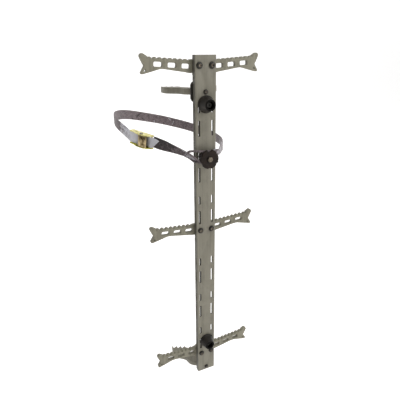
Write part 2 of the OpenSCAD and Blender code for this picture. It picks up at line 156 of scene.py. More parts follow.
studio = {"floorSize": 9.0, "drop": 0.1, "wallBack": 4.2, "wallHeight": 6, "bend": 1.6,
          "white": "f4f3f1", "glow": 0.45}


def paleSweep():
    # Painted plaster: matt and almost white, one smooth sweep from the floor into the wall
    material = newMaterial("paintedPlaster")
    shader = addNode(material, "ShaderNodeBsdfPrincipled", inputs={"Base Color": linear(studio["white"]),
                     "Roughness": 0.9, "Specular IOR Level": 0.2, "Emission Color": (1, 1, 1, 1),
                     "Emission Strength": studio["glow"]})
    endMaterial(material, shader)
    deselect()
    bpy.ops.mesh.primitive_plane_add(size=1, location=(0, 0, 0))
    floor = bpy.context.active_object
    floor.name = "sweep"
    low, back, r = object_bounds()[0][2] - studio["drop"], studio["wallBack"], studio["bend"]
    points = [(-studio["floorSize"] / 2, low), (back - r, low)]
    points += [(back - r + r * math.sin(math.radians(a)), low + r - r * math.cos(math.radians(a)))
               for a in range(6, 91, 6)]
    points.append((back, low + studio["wallHeight"]))
    half = studio["floorSize"]
    verts = [(x, y, z) for y, z in points for x in (-half, half)]
    faces = [(2 * k, 2 * k + 1, 2 * k + 3, 2 * k + 2) for k in range(len(points) - 1)]
    mesh = bpy.data.meshes.new("sweep")
    mesh.from_pydata(verts, [], faces)
    floor.data = mesh
    floor.data.materials.append(material)
    pick(floor)
    bpy.ops.object.shade_smooth()


paleSweep()

lights = {
    "key": {"at": (1.5, -1.9, 1.1), "size": 1.5, "power": 27},
    "fill": {"at": (-1.9, -1.6, 0.9), "size": 1.8, "power": 1.2},
    "top": {"at": (0.1, -0.3, 2.4), "size": 1.6, "power": 10},
    "wall": {"at": (0.0, 0.8, 2.6), "size": 3.0, "power": 34, "to": (0.0, 3.6, 0.0)},
}
for name, light in lights.items():
    bpy.ops.object.light_add(type="AREA", location=light["at"])
    lamp = bpy.context.active_object
    lamp.name = name + "Light"
    lamp.data.size = light["size"]
    lamp.data.energy = light["power"]
    aim = Vector(light.get("to", (0, 0.05, -0.15))) - Vector(light["at"])
    lamp.rotation_euler = aim.to_track_quat("-Z", "Y").to_euler()

world = bpy.data.worlds.new("studio")
bpy.context.scene.world = world
world.use_nodes = True
# Weak from the left, so that edges read, and pale all round to the camera
sky = {"colour": (0.97, 0.975, 1.0, 1), "left": 0.02, "right": 0.66, "seen": 0.98}
background = world.node_tree.nodes["Background"]
background.inputs["Color"].default_value = sky["colour"]
direction = addNode(world, "ShaderNodeTexCoord")
parted = addNode(world, "ShaderNodeSeparateXYZ", links={"Vector": (direction, "Generated")})
strength = addNode(world, "ShaderNodeMapRange",
                   inputs={"From Min": -1.0, "From Max": 0.6, "To Min": sky["left"], "To Max": sky["right"]},
                   links={"Value": (parted, "X")})
rays = addNode(world, "ShaderNodeLightPath")
seen = addNode(world, "ShaderNodeMix", {"data_type": "FLOAT"}, {3: sky["seen"]},
               {0: (rays, "Is Camera Ray"), 2: (strength, "Result")})
world.node_tree.links.new(seen.outputs[0], background.inputs["Strength"])
bpy.context.scene.view_settings.view_transform = "Standard"
print("camera, floor and light are set")

# ---- materials


def powderCoat(name, colour, colourWorn, seed, gloss=0.4):
    # Polyester powder coat on aluminium: satin, with fine orange peel and faint lines along the metal
    material = newMaterial(name)
    place = addNode(material, "ShaderNodeTexCoord")
    shifted = addNode(material, "ShaderNodeMapping", inputs={"Location": (seed, 0.3 * seed, 0)},
                      links={"Vector": (place, "Object")})
    cloud = addNode(material, "ShaderNodeTexNoise", inputs={"Scale": 22.0, "Detail": 4.0, "Roughness": 0.65},
                    links={"Vector": (shifted, "Vector")})  # soft patches about 45 mm across
    peel = addNode(material, "ShaderNodeTexNoise", inputs={"Scale": 900.0, "Detail": 2.0},
                   links={"Vector": (shifted, "Vector")})  # orange peel about 1 mm across
    drawn = addNode(material, "ShaderNodeMapping", inputs={"Scale": (190.0, 190.0, 1.2)},
                    links={"Vector": (place, "Object")})  # die lines about 5 mm apart
    lines = addNode(material, "ShaderNodeTexNoise", inputs={"Scale": 1.0, "Detail": 2.0},
                    links={"Vector": (drawn, "Vector")})
    both = addNode(material, "ShaderNodeMath", {"operation": "MULTIPLY_ADD"}, {1: 0.9},
                   {0: (lines, "Fac"), 2: (cloud, "Fac")})
    tone = addNode(material, "ShaderNodeValToRGB", links={"Fac": (both, "Value")})
    setRamp(tone, ((0.78, colourWorn), (1.0, colour)))
    rough = addNode(material, "ShaderNodeMapRange", inputs={"To Min": 0.44, "To Max": 0.6},
                    links={"Value": (cloud, "Fac")})
    bump = addNode(material, "ShaderNodeBump", inputs={"Strength": 0.25, "Distance": 0.0002},
                   links={"Height": (peel, "Fac")})
    shader = addNode(material, "ShaderNodeBsdfPrincipled", inputs={"Specular IOR Level": gloss},
                     links={"Base Color": (tone, "Color"), "Roughness": (rough, "Result"),
                            "Normal": (bump, "Normal")})
    return endMaterial(material, shader)


def moulded(name, colour, colourLight, roughLow, roughHigh, grain, gloss=0.3):
    # Glass-filled nylon: nearly black, a soft sheen and a fine spark-eroded grain
    material = newMaterial(name)
    place = addNode(material, "ShaderNodeTexCoord")
    cloud = addNode(material, "ShaderNodeTexNoise", inputs={"Scale": 60.0, "Detail": 4.0},
                    links={"Vector": (place, "Object")})  # scuffs about 15 mm across
    fine = addNode(material, "ShaderNodeTexNoise", inputs={"Scale": grain, "Detail": 2.0},
                   links={"Vector": (place, "Object")})
    tone = addNode(material, "ShaderNodeValToRGB", links={"Fac": (cloud, "Fac")})
    setRamp(tone, ((0.35, colour), (0.75, colourLight)))
    rough = addNode(material, "ShaderNodeMapRange", inputs={"To Min": roughLow, "To Max": roughHigh},
                    links={"Value": (cloud, "Fac")})
    bump = addNode(material, "ShaderNodeBump", inputs={"Strength": 0.3, "Distance": 0.0002},
                   links={"Height": (fine, "Fac")})
    shader = addNode(material, "ShaderNodeBsdfPrincipled", inputs={"Specular IOR Level": gloss},
                     links={"Base Color": (tone, "Color"), "Roughness": (rough, "Result"),
                            "Normal": (bump, "Normal")})
    return endMaterial(material, shader)


def plated(name, colour, colourDull, roughLow, roughHigh):
    # Steel, zinc plated or worn bare: a little cloudy, with fine polishing marks
    material = newMaterial(name)
    place = addNode(material, "ShaderNodeTexCoord")
    cloud = addNode(material, "ShaderNodeTexNoise", inputs={"Scale": 110.0, "Detail": 3.0},
                    links={"Vector": (place, "Object")})  # clouds about 9 mm across
    marks = addNode(material, "ShaderNodeTexNoise", inputs={"Scale": 1400.0, "Detail": 2.0},
                    links={"Vector": (place, "Object")})
    tone = addNode(material, "ShaderNodeValToRGB", links={"Fac": (cloud, "Fac")})
    setRamp(tone, ((0.3, colourDull), (0.7, colour)))
    rough = addNode(material, "ShaderNodeMapRange", inputs={"To Min": roughLow, "To Max": roughHigh},
                    links={"Value": (marks, "Fac")})
    bump = addNode(material, "ShaderNodeBump", inputs={"Strength": 0.15, "Distance": 0.0001},
                   links={"Height": (marks, "Fac")})
    shader = addNode(material, "ShaderNodeBsdfPrincipled", inputs={"Metallic": 1.0},
                     links={"Base Color": (tone, "Color"), "Roughness": (rough, "Result"),
                            "Normal": (bump, "Normal")})
    return endMaterial(material, shader)


def wovenWebbing():
    # Polyester webbing in three muted tones, with printed patches and a listed darkness along each strap: ribs
    # 1.4 mm apart along it, weft 1 mm apart across it
    material = newMaterial("wovenWebbing")
    flat = addNode(material, "ShaderNodeUVMap", {"uv_map": "weave"})
    shade = addNode(material, "ShaderNodeAttribute", {"attribute_name": "shade"})
    patches = addNode(material, "ShaderNodeTexNoise",
                      inputs={"Scale": 70.0, "Detail": 2.5, "Distortion": 0.6},
                      links={"Vector": (flat, "UV")})  # printed patches about 14 mm across
    light = addNode(material, "ShaderNodeMath", {"operation": "MULTIPLY_ADD"}, {1: 0.9},
                    {0: (shade, "Fac"), 2: (patches, "Fac")})
    reach = 1.4  # a ramp ends at 1, and the sum goes past it
    scaled = addNode(material, "ShaderNodeMath", {"operation": "DIVIDE"}, {1: reach}, {0: (light, "Value")})
    tone = addNode(material, "ShaderNodeValToRGB", links={"Fac": (scaled, "Value")})
    tones = ((0.62, "3d3333"), (0.74, "7d7072"), (1.008, "6a5d5e"), (1.08, "b9b3b8"), (1.3, "dcdbe1"))
    setRamp(tone, [(at / reach, colour) for at, colour in tones])
    ribs = addNode(material, "ShaderNodeTexWave", {"bands_direction": "X"},
                   {"Scale": 112.0, "Distortion": 0.4}, {"Vector": (flat, "UV")})
    weft = addNode(material, "ShaderNodeTexWave", {"bands_direction": "Y"},
                   {"Scale": 157.0, "Distortion": 0.4}, {"Vector": (flat, "UV")})
    threads = addNode(material, "ShaderNodeMath", {"operation": "MULTIPLY"},
                      links={0: (ribs, "Fac"), 1: (weft, "Fac")})
    bump = addNode(material, "ShaderNodeBump", inputs={"Strength": 0.7, "Distance": 0.0004},
                   links={"Height": (threads, "Value")})
    darker = addNode(material, "ShaderNodeMapRange", inputs={"To Min": 0.78, "To Max": 1.05},
                     links={"Value": (threads, "Value")})
    blots = addNode(material, "ShaderNodeTexNoise", inputs={"Scale": 230.0, "Detail": 3.0, "Distortion": 1.2},
                    links={"Vector": (flat, "UV")})  # dark printed specks about 4 mm across
    fade = addNode(material, "ShaderNodeMapRange", inputs={"From Min": 0.95, "From Max": 1.1, "To Min": 0.42,
                   "To Max": 1.0}, links={"Value": (shade, "Fac")})  # the lightest stretches have no specks
    speck = addNode(material, "ShaderNodeMapRange", inputs={"From Min": 0.4, "From Max": 0.5, "To Max": 1.0},
                    links={"Value": (blots, "Fac"), "To Min": (fade, "Result")})
    printed = addNode(material, "ShaderNodeMix", {"data_type": "RGBA", "blend_type": "MULTIPLY"}, {0: 1.0},
                      {6: (tone, "Color"), 7: (speck, "Result")})
    tint = addNode(material, "ShaderNodeMix", {"data_type": "RGBA", "blend_type": "MULTIPLY"}, {0: 1.0},
                   {6: (printed, 2), 7: (darker, "Result")})
    shader = addNode(material, "ShaderNodeBsdfPrincipled", inputs={"Roughness": 0.72, "Sheen Weight": 0.25,
                     "Sheen Roughness": 0.5}, links={"Base Color": (tint, 2), "Normal": (bump, "Normal")})
    return endMaterial(material, shader)


olive = powderCoat("powderCoatOlive", "7f7b6d", "736f62", 0.0)
oliveWorn = powderCoat("powderCoatOliveCast", "84806f", "757161", 1.7)
nylon = moulded("glassFilledNylon", "191612", "2a251e", 0.4, 0.62, 1100.0)
# Painted shade: a near-black, duller nylon for the post's pocket and the end ring around it
nylonPaintedShade = moulded("glassFilledNylonPaintedShadePocket", "0b0a08", "14120f", 0.6, 0.8, 1100.0, 0.1)
nylonBrown = moulded("glassFilledNylonKnob", "18110c", "291d14", 0.45, 0.65, 900.0, 0.2)
blackened = moulded("blackenedSteel", "1f1d19", "38352d", 0.3, 0.46, 1600.0)
# Bare steel for the strap button's bolt, and a painted glint in the screw sockets
wornSteelAndGlint = plated("wornBareSteelAndPaintedGlint", "8f8578", "5c5449", 0.4, 0.6)
brightSteel = plated("zincPlatedSteel", "a8a59a", "7c7970", 0.32, 0.5)
yellowZinc = plated("yellowPassivatedSteel", "e8e1a6", "bfb661", 0.2, 0.36)
# Painted shade: a dark, nearly glossless coat for the inside of the beam's channels
paintedShadeHollow = powderCoat("paintedShadeHollowCoat", "3f3c33", "33302a", 0.6, 0.02)
# Painted shade: a darker olive coat for the beam's side faces
paintedShadeSideCoat = powderCoat("powderCoatOlivePaintedShadeSide", "4f4c42", "45423a", 0.9)
yellowDeep = plated("bronzePassivatedCam", "cbb78f", "43351d", 0.24, 0.42)
# Painted shade: a darker olive yellow for the buckle's lower side plate
yellowPaintedShade = plated("yellowPassivatedPaintedShade", "c9c23c", "827c1e", 0.22, 0.4)
webbing = wovenWebbing()
print("materials are made")

# ---- the webbing

strapSize = {"width": 25 * mm, "thick": 1.7 * mm, "across": 12, "between": 6, "tail": 24 * mm,
             "pleat": 1.5 * mm, "pleats": 2.5, "selvedge": 0.45}

# Places along the middle of each strap, its lean from upright, the width it is gathered to, and how dark the
# webbing is there.
longStrap = {
    "route": [
        (33, 10, 1), (29, 1, -3), (22, -6.5, -7), (14, -8, -11), (4, -8, -13.8), (-7, -11, -13.6),
        (-16, -12, -7.5), (-30, -11.5, 4), (-40, -10.5, 12), (-45, -8, 16.5), (-40, -8, 19), (-26, -8, 18),
        (-12, -8, 16), (0, -8, 15), (12, -8, 14), (22, -6.5, 12), (30.5, 0.5, 9), (43, 20, 4), (57, 45, 0),
        (75, 74, -4), (95, 108, -9), (120, 148, -15), (138, 190, -15), (143, 230, -12), (138, 267, -7),
        (122, 300, 0), (97, 331, 9), (65, 353, 18), (28, 365, 28), (-10, 366, 37), (-48, 359, 46),
        (-82, 341, 54), (-110, 315, 59), (-131, 281, 60), (-141, 245, 57), (-142, 210, 52), (-136, 182, 44),
        (-129.5, 162.5, 36), (-127, 153.5, 32), (-124.5, 144.5, 31), (-119.5, 134.5, 29), (-114, 128, 28),
        (-107.5, 125.5, 27), (-103, 120.5, 26.5), (-99, 112.5, 25), (-97, 104.5, 24), (-95, 99, 23),
        (-91, 92, 22), (-86, 83.5, 20.5), (-81, 77, 19.5)],
    "lean": [
        0, 5, 35, 75, 90, 90, 90, 90, 90, 90, 90, 90, 90, 90, 85, 45, 15, 5] + [0] * 32,
    "width": [
        22, 20, 14, 13, 13, 7, 6, 6, 8, 9, 10, 12, 13, 13, 13, 13, 13, 15, 19, 23, 25, 25, 25, 25, 25, 25, 25,
        25, 25, 25, 25, 25, 25, 25, 25, 25, 25, 25, 25, 25, 25, 25, 25, 25, 25, 25, 25, 25, 24, 18],
    "shade": [
        0.6, 0.6, 0.5, 0.3, 0.2, 0.2, 0.3, 0.3, 0.35, 0.4, 0.3, 0.35, 0.4, 0.5, 0.5, 0.52, 0.55, 0.58, 0.6,
        0.58, 0.55, 0.5, 0.5, 0.45, 0.4, 0.35, 0.35, 0.4, 0.4, 0.4, 0.35, 0.35, 0.4, 0.4, 0.3, 0.4, 0.75, 0.9,
        1, 1.15, 1.15, 1.15, 1.05, 0.7, 0.9, 1.1, 1.15, 1.15, 1.1, 1],
}
shortStrap = {
    "route": [
        (-87, 98, 24), (-80, 87, 21.5), (-70, 70, 18.5), (-60, 54, 15), (-50, 38, 11.5), (-41, 24, 7.5),
        (-34, 12, 3), (-29.5, 3, -1.5), (-26, -3, -5), (-20, -4.8, -8), (-12, -4.5, -10.5), (-3, -6, -11),
        (5, -8, -9.6), (10, -8, -4.6), (10.8, -8, 2), (7.6, -8, 7.8), (0, -7, 10.9), (-9, -5, 9.5),
        (-16, -4.5, 6), (-20, -4.5, 4)],
    "lean": [
        10, 15, 20, 25, 25, 20, 15, 15, 40, 80, 90, 90, 90, 90, 90, 90, 90, 90, 90, 90],
    "width": [
        25, 25, 23, 18.5, 15, 12.5, 11.5, 11, 9, 6, 6, 7, 12, 12, 12, 12, 10, 6, 6, 6],
    "shade": [0.1, 0.08, 0.1, 0.15, 0.35, 0.55, 0.6, 0.6, 0.5, 0.3, 0.2, 0.1, 0.1, 0.1, 0.1, 0.2, 0.2, 0.3,
              0.3, 0.3],
}


def between(a, b, c, d, t):  # a smooth curve through b and c
    return 0.5 * (2 * b + (c - a) * t + (2 * a - 5 * b + 4 * c - d) * t * t
                  + (3 * b - a - 3 * c + d) * t * t * t)


def smoothed(values, steps):
    out, last = [], len(values) - 1
    for k in range(last):
        a, b, c, d = (values[min(max(k + j, 0), last)] for j in (-1, 0, 1, 2))
        out += [between(a, b, c, d, t / steps) for t in range(steps)]
    return out + [values[last]]


def layWebbing(name, strap, slant=0.0):
    steps, n = strapSize["between"], strapSize["across"]
    path = smoothed([Vector(p) * mm for p in strap["route"]], steps)
    lean = smoothed([float(v) for v in strap["lean"]], steps)
    width = smoothed([v * mm for v in strap["width"]], steps)
    shade = smoothed([float(v) for v in strap["shade"]], steps)
    verts, shades, uvs, run = [], [], [], 0.0
    half = strapSize["thick"] / 2
    total = sum((b - a).length for a, b in zip(path, path[1:]))
    for k, p in enumerate(path):
        t = (path[min(k + 1, len(path) - 1)] - path[max(k - 1, 0)]).normalized()
        a = math.radians(lean[k])
        wide = Vector((0, math.sin(a), math.cos(a)))
        wide = (wide - wide.dot(t) * t).normalized()
        thin = t.cross(wide)
        gathered = max(0.0, 1 - width[k] / strapSize["width"])
        if k:
            run += (p - path[k - 1]).length
        for side in (1, -1):
            for j in range(n + 1):
                s = side * (2 * j / n - 1)
                pleat = strapSize["pleat"] * gathered * math.cos(s * math.pi * strapSize["pleats"])
                edge = half * (1 if abs(s) < 0.99 else strapSize["selvedge"])
                near = max(0.0, 1 - (total - run) / strapSize["tail"])
                cut = -slant * (1 - s) / 2 * near  # the free end is cut on the slant
                verts.append(p + wide * s * width[k] / 2 + thin * (side * edge + pleat) + t * cut)
                shades.append(shade[k])
                uvs.append((s * strapSize["width"] / 2, run))
    ring = 2 * (n + 1)
    faces = [(k * ring + j, k * ring + (j + 1) % ring, (k + 1) * ring + (j + 1) % ring, (k + 1) * ring + j)
             for k in range(len(path) - 1) for j in range(ring)]
    faces += [tuple(range(ring - 1, -1, -1)), tuple((len(path) - 1) * ring + j for j in range(ring))]
    mesh = bpy.data.meshes.new(name)
    mesh.from_pydata(verts, [], faces)
    layer = mesh.uv_layers.new(name="weave")
    for loop in mesh.loops:
        layer.data[loop.index].uv = uvs[loop.vertex_index]
    tone = mesh.attributes.new("shade", "FLOAT", "POINT")
    for k, value in enumerate(shades):
        tone.data[k].value = value
    piece = bpy.data.objects.new(name, mesh)
    bpy.context.collection.objects.link(piece)
    pick(piece)
    bpy.ops.object.mode_set(mode="EDIT")
    bpy.ops.mesh.select_all(action="SELECT")
    bpy.ops.mesh.normals_make_consistent(inside=False)
    bpy.ops.object.mode_set(mode="OBJECT")
    smooth(50)
    piece.data.materials.append(webbing)
    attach(piece, "frame")
    return piece, path, run


strapLong, longPath, longRun = layWebbing("strapLong", longStrap, slant=17 * mm)
strapShort, shortPath, shortRun = layWebbing("strapShort", shortStrap)
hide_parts("strap_long")
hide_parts("strap_short")
print("webbing is laid: long", round(longRun, 3), "m, short", round(shortRun, 3), "m")

# ---- plates cut from an outline, with broken edges

weld = 0.00002


def arc(cx, cy, r, start, end, steps):
    angles = [math.radians(start + (end - start) * k / steps) for k in range(steps + 1)]
    return [(cx + r * math.cos(a), cy + r * math.sin(a)) for a in angles]


def slotOutline(cx, cy, length, height, tilt, corner):
    x, y, points = length / 2 - corner, height / 2 - corner, []
    for u, v, start in ((x, -y, -90), (x, y, 0), (-x, y, 90), (-x, -y, 180)):
        points += arc(u, v, corner, start, start + 90, 5)
    c, s = math.cos(math.radians(tilt)), math.sin(math.radians(tilt))
    return [(cx + c * x - s * y, cy + s * x + c * y) for x, y in points]


def cutPlate(name, outlines, thick, edge):
    # Outlines lie in a plane, in millimetres. The plate's middle is at height 0, and its edges are rounded
    curve = bpy.data.curves.new(name, "CURVE")
    curve.dimensions = "2D"
    curve.fill_mode = "BOTH"
    curve.extrude = (thick / 2 - edge) * mm
    curve.bevel_depth = edge * mm
    curve.bevel_resolution = 2
    curve.offset = -edge * mm
    for outline in outlines:
        spline = curve.splines.new("POLY")
        spline.points.add(len(outline) - 1)
        for point, (x, y) in zip(spline.points, outline):
            point.co = (x * mm, y * mm, 0, 1)
        spline.use_cyclic_u = True
    plate = bpy.data.objects.new(name, curve)
    bpy.context.collection.objects.link(plate)
    pick(plate)
    bpy.ops.object.convert(target="MESH")
    bpy.ops.object.mode_set(mode="EDIT")
    mend(weld)
    return bpy.context.active_object


def place(plate, matrix, flip=False):
    plate.data.transform(matrix)
    if flip:
        plate.data.flip_normals()
    pick(plate)
    smooth(35)


def finish(plate, material, body, slotName, *replaced):
    plate.data.materials.clear()
    plate.data.materials.append(material)
    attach(plate, body)
    if replaced:
        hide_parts(*replaced)


stepSize = {"boltX": 14, "reach": 113, "front": 13.5, "thick": 9, "heel": 12.4, "edge": 0.7, "bore": 4.06,
            "teeth": 8, "firstTooth": 24, "lastTooth": 99, "toothRadius": 4.6, "toothHeight": 3.4,
            "topAtBolt": 10.8, "topSlope": 0.068, "levels": {"top": 190, "mid": -174.5, "low": -539}}
stepSlot = {"count": 3, "first": (23.5, -1.2), "pitch": (29.27, 2.2), "length": 18, "height": 9, "tilt": 3,
            "corner": 2.6}


def stepTop(u):  # the top edge, at a distance from the bolt
    return stepSize["topAtBolt"] + stepSize["topSlope"] * u


def stepOutlines():
    size, reach, slot = stepSize, stepSize["reach"], stepSlot
    outline = arc(0, 0, size["heel"], 90, 270, 18)
    outline += [(8, -14.6), (15, -14.8), (22, -13.3), (45, -9.8), (68, -6.2), (74, -5.8), (80, -6.3),
                (91, -9.2), (103, -12.2)]
    outline += arc(reach + 1.6, -12, 2.8, -105, 25, 7)
    outline += [(reach - 0.6, -3.2), (reach - 2.4, -0.6), (reach - 2.8, 1), (reach - 2.2, 2.8),
                (reach - 0.4, 5.4)]
    outline += arc(reach, 18.4, 5.2, -35, 122, 12)
    outline += [(reach - 6, 20.8), (reach - 10, 18.4)]
    spread = math.degrees(math.acos(1 - size["toothHeight"] / size["toothRadius"]))
    for k in range(size["teeth"] - 1, -1, -1):
        u = size["firstTooth"] + k * (size["lastTooth"] - size["firstTooth"]) / (size["teeth"] - 1)
        outline += arc(u, stepTop(u) - size["toothRadius"], size["toothRadius"], 90 - spread, 90 + spread, 6)
    outline += [(18.4, stepTop(18) - 2.4), (14, 11.6)]
    holes = []
    for k in range(slot["count"]):
        u, v = (first + k * pitch for first, pitch in zip(slot["first"], slot["pitch"]))
        holes.append(slotOutline(u, v, slot["length"], slot["height"], slot["tilt"], slot["corner"]))
    holes.append([(reach - 1.4, -9.9), (reach - 4.3, -4.6), (reach - 7.2, -9.2)])
    holes.append(arc(0, 0, size["bore"], 0, 340, 17))
    return [outline] + holes


def makeSteps():
    size = stepSize
    blank = cutPlate("stepBlank", stepOutlines(), size["thick"], size["edge"])
    for level, z in size["levels"].items():
        for side, s in (("left", -1), ("right", 1)):
            plate = blank.copy()
            plate.data = blank.data.copy()
            plate.name = f"step{level.capitalize()}{side.capitalize()}"
            bpy.context.collection.objects.link(plate)
            y = (size["front"] + size["thick"] / 2) * mm
            place(plate, Matrix(((s, 0, 0, s * size["boltX"] * mm), (0, 0, 1, y), (0, 1, 0, z * mm),
                                 (0, 0, 0, 1))), flip=s > 0)
            finish(plate, oliveWorn, f"step_{level}_{side}", "olive_paint", f"step_{level}_{side}")
    bpy.data.objects.remove(blank)


makeSteps()
print("steps are cut")

bracketSize = {"half": 60, "reach": 104, "back": 17.6, "thick": 12.7, "edge": 0.6, "hubRadius": 11.5,
               "hubLength": 26, "hubEdge": 0.8, "heights": {"top": 138.5, "low": -590.5}}


def bracketOutlines():
    size = bracketSize
    half, reach, back = size["half"], size["reach"], size["back"]
    inner, outer = Vector((0.467 * half, reach - 15)), Vector((half, reach))
    along = (outer - inner) / 3
    out = Vector((-along.y, along.x)).normalized()
    tips = [inner + k * along for k in range(4)]
    valleys = [inner + (k + 0.5) * along - 7 * out for k in range(3)]
    right = [(19, back), (26, back + 3), (34, 0.27 * reach), (37, 0.33 * reach), (38.4, 0.39 * reach),
             (40, 0.47 * reach), (47, 0.54 * reach), (half - 3, 0.62 * reach), (half + 1, 0.68 * reach),
             (half + 3, 0.74 * reach), (half + 4, 0.81 * reach), (half + 3.5, 0.91 * reach),
             (half + 1.4, reach)]
    saw = []
    for k in (3, 2, 1, 0):
        tip = tips[k]
        saw += [(tip.x + 0.6, tip.y), (tip.x - 0.6, tip.y)]
        if k:
            valley = valleys[k - 1]
            saw += [(valley.x + 1.2, valley.y + 0.4), (valley.x - 0.6, valley.y + 0.2)]
    right += saw[1:]
    right += [(inner.x - 2, inner.y - 7), (inner.x - 4, inner.y - 20), (20, 61), (16, 52.6), (13, 46.5),
              (9.5, 43.6)]
    left = [(-x, y) for x, y in reversed(right)]
    holes = []
    for s in (1, -1):
        x, y = s * (half - 16), reach - 25
        holes.append([(x - 1.8, y - 3), (x + 3.4, y), (x - 1.8, y + 3)])
    return [right + left] + holes


def makeBrackets():
    size = bracketSize
    for name, z in size["heights"].items():
        plate = cutPlate("bracket" + name.capitalize(), bracketOutlines(), size["thick"], size["edge"])
        plate.data.transform(Matrix.Translation((0, 0, z * mm)))
        deselect()
        bpy.ops.mesh.primitive_cylinder_add(
            vertices=64, radius=size["hubRadius"] * mm, depth=size["hubLength"] * mm,
            location=(0, (size["back"] + size["hubLength"] / 2) * mm, z * mm), rotation=(math.pi / 2, 0, 0))
        hub = bpy.context.active_object
        settle(hub)
        apply(hub, "BEVEL", width=size["hubEdge"] * mm, segments=3, limit_method="ANGLE")
        joinAll([plate, hub])
        smooth(35)
        finish(plate, olive, "bracket_" + name, "olive_paint", "bracket_" + name)


makeBrackets()
print("brackets are cut")

postSize = {"foot": 18.4, "end": 11.6, "height": 24, "pocket": 8, "depth": 13, "bore": 3.3, "turns": 72,
            "heights": {"Top": 113.5, "Low": -500}}


def lathe(name, profile, steps, origin):
    # The profile is (radius, height towards the climber); it is spun about the axis through origin along Y
    mesh = bpy.data.meshes.new(name)
    points = [Vector((r * mm, -h * mm, 0)) for r, h in profile]
    mesh.from_pydata(points, [(k, k + 1) for k in range(len(points) - 1)], [])
    piece = bpy.data.objects.new(name, mesh)
    bpy.context.collection.objects.link(piece)
    pick(piece)
    bpy.ops.object.mode_set(mode="EDIT")
    bpy.ops.mesh.select_all(action="SELECT")
    bpy.ops.mesh.spin(steps=steps, angle=2 * math.pi, center=(0, 0, 0), axis=(0, 1, 0))
    mend(weld)
    piece.data.transform(Matrix.Translation(Vector(origin) * mm))
    smooth(40)
    return piece


def makePosts():
    size = postSize
    foot, end, pocket, bore = size["foot"], size["end"], size["pocket"], size["bore"]
    top, floor = size["height"], size["height"] - size["depth"]
    slope = [(foot - 1.5 - (foot - 1.5 - end - 0.6) * k / 5, 4 + (top - 5.5) * k / 5) for k in range(6)]
    profile = [(bore, 0.02), (foot - 0.4, 0.02), (foot, 0.5), (foot, 2.4), (foot - 0.5, 3.4),
               (foot - 1.4, 3.9)]
    profile += slope
    profile += [(end + 0.3, top - 0.7), (end - 0.4, top - 0.15), (end - 1.2, top), (pocket + 0.7, top),
                (pocket + 0.15, top - 0.25), (pocket, top - 0.8), (pocket, floor), (bore, floor), (bore, 0.02)]
    for name, z in size["heights"].items():
        post = lathe("post" + name, profile, size["turns"], (0, 0, z))
        finish(post, nylon, "frame", "black_plastic", "post_" + name.lower())
        post.data.materials.append(nylonPaintedShade)
        # Painted shade: faces in the pocket and on the end ring take the near-black nylon
        for face in post.data.polygons:
            out = math.hypot(face.center.x, face.center.z - z * mm) / mm
            if out < end + 0.2 and face.center.y < -floor * mm + 0.0005:
                face.material_index = 1


makePosts()

# Each dip in the button's rim is half its width in degrees, and its depth
buttonSize = {"radius": 21.4, "thick": 5, "neck": 15, "lobes": 6, "edge": 1.1, "bore": 3.1,
              "notch": (15, 4.6), "dip": (10.5, 1.5)}


def makeButton():
    size = buttonSize
    r, outline = size["radius"], []
    for k in range(180):
        a = math.radians(2 * k)
        dip = 0.0
        for lobe in range(size["lobes"]):
            offset = (2 * k - 90 - 60 * lobe + 180) % 360 - 180
            wide, deep = size["notch"] if lobe == 0 else size["dip"]
            dip = max(dip, deep * max(0.0, 1 - (offset / wide) ** 2) ** 0.5)
        outline.append(((r - dip) * math.cos(a), (r - dip) * math.sin(a)))
    plate = cutPlate("button", [outline, arc(0, 0, size["bore"], 0, 345, 23)], size["thick"], size["edge"])
    y = -(size["neck"] + size["thick"] / 2) * mm
    place(plate, Matrix(((1, 0, 0, 0), (0, 0, 1, y), (0, 1, 0, 0), (0, 0, 0, 1))), flip=True)
    finish(plate, nylonBrown, "frame", "black_plastic", "strap_button")


makeButton()
print("posts and button are made")

buckleSize = {"mid": (-104.5, 125.5, 27), "turn": 122.2, "rise": 8, "length": 66, "gap": 27, "plate": 2.2,
              "far": -4, "near": 17, "camU": -4, "camV": 10, "camRadius": 7, "pin": 2.56, "rodRadius": 2.2,
              "rods": {"bar": -28, "guide": 27}, "rodV": 0.4, "teeth": 9, "edge": 0.5}
inBuckle = (Matrix.Translation(Vector(buckleSize["mid"]) * mm)
            @ Matrix.Rotation(math.radians(buckleSize["turn"]), 4, "Z")
            @ Matrix.Rotation(math.radians(-buckleSize["rise"]), 4, "Y"))


